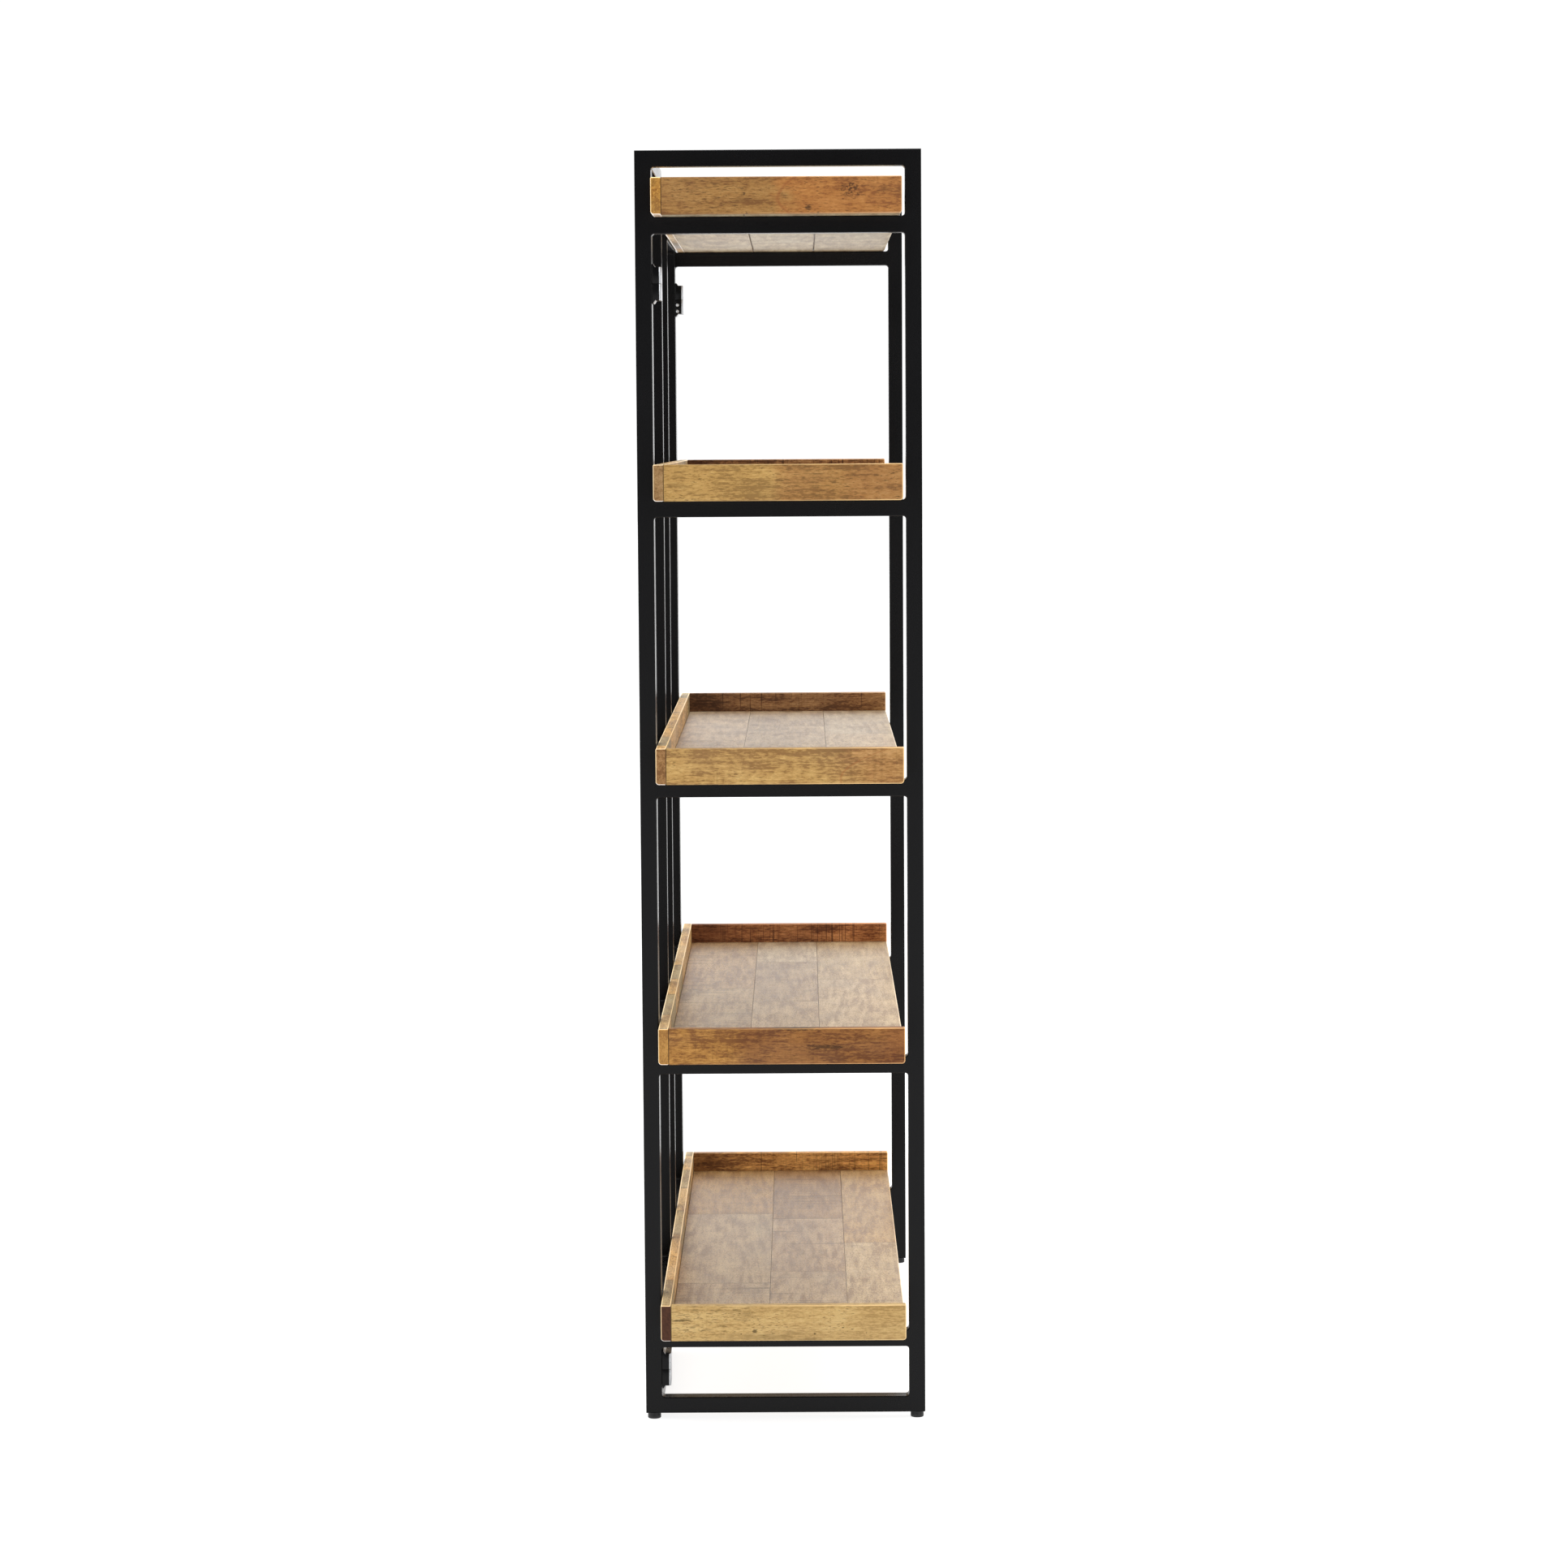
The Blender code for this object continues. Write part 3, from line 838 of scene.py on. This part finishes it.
def add_screw(name, place, sign, metal):
    """A pan-head screw with a cross recess, its head facing along X."""
    work = bmesh.new()
    turns = [math.radians(15 * i) for i in range(24)]
    rings = []
    for a in (math.radians(22.5 * step) for step in range(5)):
        radius = SCREW_HEAD * math.cos(SCREW_FLATNESS * a)
        lift = SCREW_DOME * math.sin(a)
        rings.append([work.verts.new((lift, radius * math.cos(t), radius * math.sin(t))) for t in turns])
    skin(work, rings)
    mesh = finished_mesh(work, name)
    arm, reach = 0.25 * SCREW_HEAD, 0.5 * SCREW_HEAD
    for vert in mesh.vertices:
        y, z = vert.co.y, vert.co.z
        in_cross = min(abs(y), abs(z)) < arm and math.hypot(y, z) < reach
        x = vert.co.x - (SCREW_RECESS if in_cross else 0)
        vert.co = (place[0] + sign * x, place[1] + y, place[2] + z)
    if sign < 0:
        mesh.flip_normals()
    for face in mesh.polygons:
        face.use_smooth = True
    mesh.set_sharp_from_angle(angle=math.radians(35))
    return new_piece(name, mesh, "frame", metal)


def knuckle_mesh(name, low, high, half):
    """Half a hinge, seen from the side: a long foot on the steel, stepping in to the knuckle's face."""
    if half == "top":
        split, face_end, foot_end = low.z, high.z - HINGE_FLARE, high.z
    else:
        split, face_end, foot_end = high.z, low.z + HINGE_FLARE, low.z
    outline = [
        (high.y, split), (high.y, foot_end), (high.y - HINGE_FOOT, foot_end),
        (high.y - FLARE_DEPTH, face_end), (low.y, face_end), (low.y, split),
    ]
    work = bmesh.new()
    skin(work, [[work.verts.new((x, y, z)) for y, z in outline] for x in (low.x, high.x)])
    bmesh.ops.recalc_face_normals(work, faces=work.faces)

    def upright_at_the_front(middle, run):
        return middle.y < low.y + TOUCHING and abs(run.x) + abs(run.y) < TOUCHING

    bevel_edges(work, upright_at_the_front, KNUCKLE_ROUND, 6)
    bevel_edges(work, lambda middle, run: True, KNUCKLE_EDGE, 2)
    mesh = finished_mesh(work, name)
    for face in mesh.polygons:
        face.use_smooth = True
    mesh.set_sharp_from_angle(angle=math.radians(40))
    return mesh


def add_hinge(side, level, coat, metal):
    """A lift-off hinge in the back corner: two black halves with a zinc front as painted highlight, two
    screws and its pin.
    """
    for half in ("top", "bottom"):
        node = f"{side}_{level}_hinge_{half}"
        mesh = knuckle_mesh(node, *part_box(node), half)
        new_piece(f"{node}_knuckle", mesh, "frame", coat, [node])
        mesh.materials.append(metal)
        # painted highlight: the front faces get zinc in place of the light the black front catches at a
        # grazing angle
        for face in mesh.polygons:
            face.material_index = int(face.normal.y < ZINC_HIGHLIGHT_FRONT)
    # The screws are in the lower half, their heads towards the middle of the bookcase.
    sign = SIDES[side]
    low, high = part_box(f"{side}_{level}_hinge_bottom")
    inner_x = low.x if sign > 0 else high.x
    for i, share in enumerate(SCREW_SHARES, 1):
        place = (inner_x, high.y - SCREW_INSET, low.z + share * (high.z - low.z))
        add_screw(f"{side}_{level}_hinge_screw_{i}", place, -sign, metal)
    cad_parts[f"{side}_{level}_hinge_pin"].material_slots[0].material = metal


def stave_look(level, plank, piece):
    """A stave's tint and age: from STAVES where it is listed, and otherwise drawn from its name."""
    draw = random.Random(f"stave_{level}_{plank}_{piece}")
    value, warmth = draw.uniform(0.82, 1.12), draw.uniform(-0.04, 0.08)
    pale = PALE_UNDERSIDE.get(level, WHITE)
    tint = tuple(value * share * (1 + turn * warmth) for share, turn in zip(pale, (1, 0, -1)))
    return STAVES.get((level, plank, piece), (tint, draw.uniform(0.3, 1.1)))


def add_rim(level, left_finish, back_finish, right_finish):
    """A tray's board along the back and one across each end."""
    body = f"shelf_{level}"
    low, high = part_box(f"{body}_floor")
    origin = (0, 0, low.z)

    def add_board(part, axis, heart, outside, material, *tints):
        node = f"{body}_{part}"
        mesh = board_mesh(node, *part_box(node), axis, stave_offset(node), origin, heart, outside, *tints)
        new_piece(f"{node}_wood", mesh, body, material, [node])

    heart = (HEART_STEP * level, high.y, 0.0)
    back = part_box(f"{body}_back_board")[1].y
    add_board("back_board", "X", heart, back, back_finish, *BACK_TINTS[level], BARE_TINT)
    for part, material, tints in (
        ("left_end", left_finish, ()), ("right_end", right_finish, (SAWN_TINTS[level],)),
    ):
        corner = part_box(f"{body}_{part}")[0]
        add_board(part, "Y", (0, 0, corner.x), corner.y, material, *tints)


def add_planks(level, material):
    """A tray's floor: planks side by side, each of staves butted end to end."""
    body = f"shelf_{level}"
    low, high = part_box(f"{body}_floor")
    origin = (0, 0, low.z)
    back = high.y
    for plank, (share, cuts) in enumerate(PLANKS[level], 1):
        front = back - share * (high.y - low.y)
        stops = [low.x, *cuts, high.x]
        last = plank == len(PLANKS[level])
        outline = plank_outline((front, low.z), (back, high.z), plank == 1, last)
        for piece, (start, end) in enumerate(zip(stops, stops[1:]), 1):
            name = f"{body}_plank_{plank}_{piece}"
            near = (start + BUTT_GAP * (piece > 1), front, low.z)
            far = (end - BUTT_GAP * (piece < len(stops) - 1), back, high.z)
            tint, age = stave_look(level, plank, piece)
            mesh = stave_mesh(name, near, far, outline, origin, last, tint, age)
            new_piece(name, mesh, body, material)
        back = front
    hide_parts(f"{body}_floor")


def add_object():
    """Every visible piece, in its finish."""
    coat = powder_coat()
    plastic = moulded_plastic()
    metal = zinc()
    rims = rim_woods()
    back_rim = back_wood()
    sawn = sawn_wood()
    floor = floor_wood()
    for side in SIDES:
        add_ladder_end(side, coat)
        add_wing(side, coat)
        for place in ("front", "back", "wing"):
            add_foot(f"{side}_{place}_foot", plastic)
        for level in ("lower", "upper"):
            add_hinge(side, level, coat, metal)
    for level in LEVELS:
        add_rim(level, rims[level], back_rim, sawn)
        add_planks(level, floor)


# ---------------------------------------------------------------- studio


def add_floor():
    """A wide white floor that glows a little, as a lit studio sweep does, so it stays pale far off."""
    n = Nodes("studio_floor")
    cloud = n.noise(n.object_place(), (0.6, 0.6, 0.6), 2.0)
    material = n.finish(
        Base_Color=n.blend(cloud, (0.32, 0.32, 0.32), (0.34, 0.34, 0.34)), Roughness=0.85, Specular=0.1,
        Emission_Color=WHITE, Emission_Strength=FLOOR_GLOW,
    )
    mesh = bpy.data.meshes.new("studio_floor")
    corners = [(FLOOR_REACH * x, FLOOR_REACH * y, 0) for x, y in ((-1, -1), (1, -1), (1, 1), (-1, 1))]
    mesh.from_pydata(corners, [], [(0, 1, 2, 3)])
    mesh.materials.append(material)
    floor = bpy.data.objects.new("studio_floor", mesh)
    bpy.context.scene.collection.objects.link(floor)


def add_world():
    """White all round for the camera; as light it is white beyond the far end and dim behind the camera."""
    world = bpy.data.worlds.new("studio")
    bpy.context.scene.world = world
    world.use_nodes = True
    nodes, links = world.node_tree.nodes, world.node_tree.links
    background = nodes["Background"]
    direction = nodes.new("ShaderNodeTexCoord").outputs["Generated"]
    parts = nodes.new("ShaderNodeSeparateXYZ")
    links.new(direction, parts.inputs[0])
    ramp = nodes.new("ShaderNodeMapRange")
    ramp.interpolation_type = "SMOOTHSTEP"
    for key, value in zip(("From Min", "From Max", "To Min", "To Max"), (*SKY_TURN, *SKY_LIGHT)):
        ramp.inputs[key].default_value = value
    links.new(parts.outputs["X"], ramp.inputs["Value"])
    seen = nodes.new("ShaderNodeLightPath").outputs["Is Camera Ray"]
    pick = nodes.new("ShaderNodeMix")
    pick.data_type = "FLOAT"
    links.new(seen, pick.inputs[0])
    links.new(ramp.outputs[0], pick.inputs[2])
    pick.inputs[3].default_value = BACKDROP
    links.new(pick.outputs[0], background.inputs["Strength"])
    background.inputs["Color"].default_value = (1.0, 1.0, 1.0, 1.0)


def add_softbox(name, place, target, size, power):
    """A soft rectangular light aimed at its target."""
    light = bpy.data.lights.new(name, "AREA")
    light.shape = "RECTANGLE"
    light.size, light.size_y = size
    light.energy = power
    lamp = bpy.data.objects.new(name, light)
    lamp.location = place
    lamp.rotation_mode = "QUATERNION"
    lamp.rotation_quaternion = (Vector(target) - Vector(place)).to_track_quat("-Z", "Y")
    bpy.context.scene.collection.objects.link(lamp)


def add_camera():
    """The camera beyond the left end, turned from straight along +X by its yaw, pitch and roll."""
    data = bpy.data.cameras.new("camera")
    data.lens = CAMERA_LENS
    data.sensor_width = CAMERA_SENSOR
    data.clip_end = 200.0
    camera = bpy.data.objects.new("camera", data)
    yaw, pitch = math.radians(CAMERA_YAW), math.radians(CAMERA_PITCH)
    ahead = Vector((math.cos(pitch) * math.cos(yaw), math.cos(pitch) * math.sin(yaw), math.sin(pitch)))
    roll = Quaternion((0.0, 0.0, 1.0), math.radians(CAMERA_ROLL))
    camera.location = CAMERA_PLACE
    camera.rotation_mode = "QUATERNION"
    camera.rotation_quaternion = ahead.to_track_quat("-Z", "Y") @ roll
    bpy.context.scene.collection.objects.link(camera)
    bpy.context.scene.camera = camera


def main():
    """Builds the object and its studio."""
    add_object()
    add_floor()
    add_world()
    for name, settings in SOFTBOXES.items():
        add_softbox(name, *settings)
    add_camera()
    bpy.context.scene.view_settings.view_transform = "Standard"


main()
